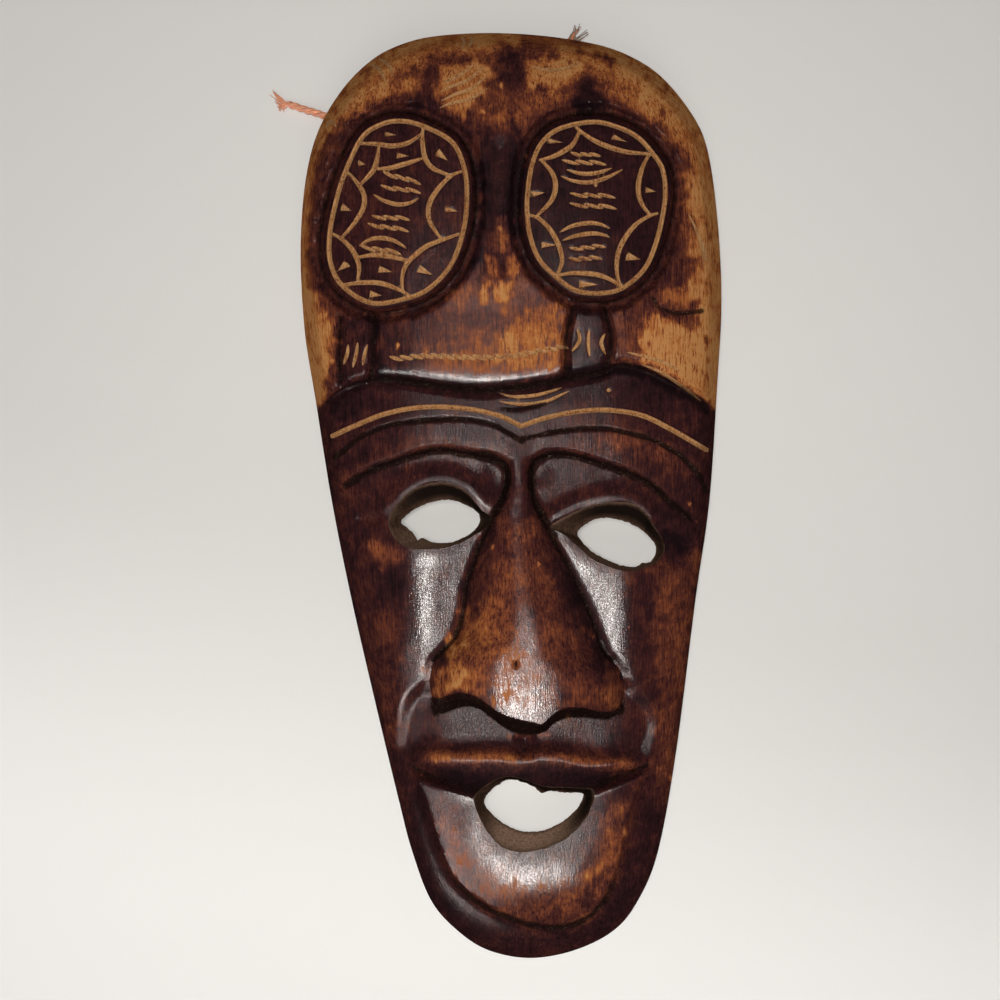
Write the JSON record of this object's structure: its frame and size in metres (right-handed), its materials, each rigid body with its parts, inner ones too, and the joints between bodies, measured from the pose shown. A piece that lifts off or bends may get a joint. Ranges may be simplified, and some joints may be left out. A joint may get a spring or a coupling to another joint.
{
  "type": "carved wooden face mask",
  "caption": "Long hand-carved wooden face mask with a hollow back, open eyes and mouth, a head-dress with two scored ovals, and a short loop of twine to hang it by.",
  "frame": {"origin": "in the plane of the flat back rim, under the middle of the mask's length and width", "axes": "+Y to the top of the head, +Z out of the face, +X to the viewer's right"},
  "size_m": [0.1407, 0.3027, 0.0446],
  "materials": {
    "stained_wood": "hand-tooled, dark reddish-brown stain under a satin lacquer, rubbed through to bare wood on edges and scored lines",
    "twine": "twisted fibre twine, matt and frayed at its ends"
  },
  "bodies": {
    "root": {"mask": "stained_wood", "hanging_cord": "twine"}
  },
  "joints": []
}
